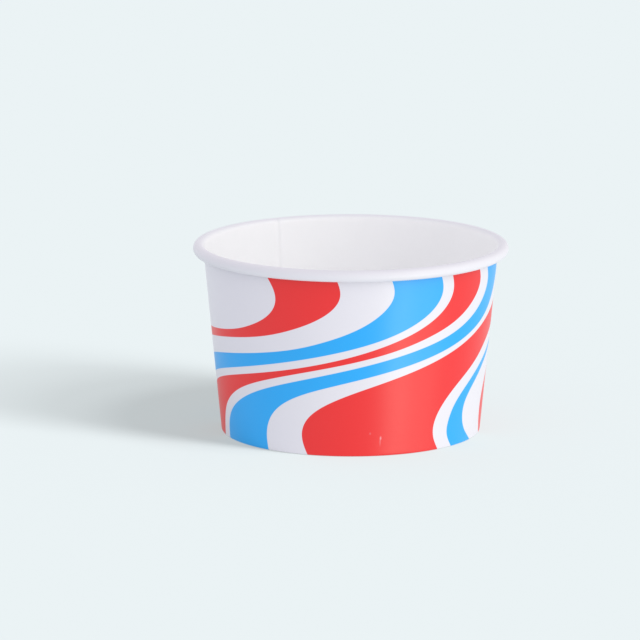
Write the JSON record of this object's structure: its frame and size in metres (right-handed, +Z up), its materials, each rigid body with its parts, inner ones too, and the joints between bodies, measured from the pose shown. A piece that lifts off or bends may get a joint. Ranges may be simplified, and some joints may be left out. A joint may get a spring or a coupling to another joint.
{
  "type": "paper dessert cup",
  "caption": "Round tapered paper cup with a rolled rim, a lapped side seam and a recessed base, for a single serving of dessert.",
  "frame": {"origin": "centre of the foot, on the table that the cup stands on", "axes": "+Z up along the cup's axis; -Y towards the viewer in front of the printed side; +X to that viewer's right"},
  "size_m": [0.096, 0.096, 0.058],
  "materials": {
    "printed_board": "satin coated board with printed stripes",
    "plain_board": "satin coated board, unprinted"
  },
  "bodies": {
    "root": {"side_wall": "printed_board", "base_disc": "plain_board"}
  },
  "joints": []
}
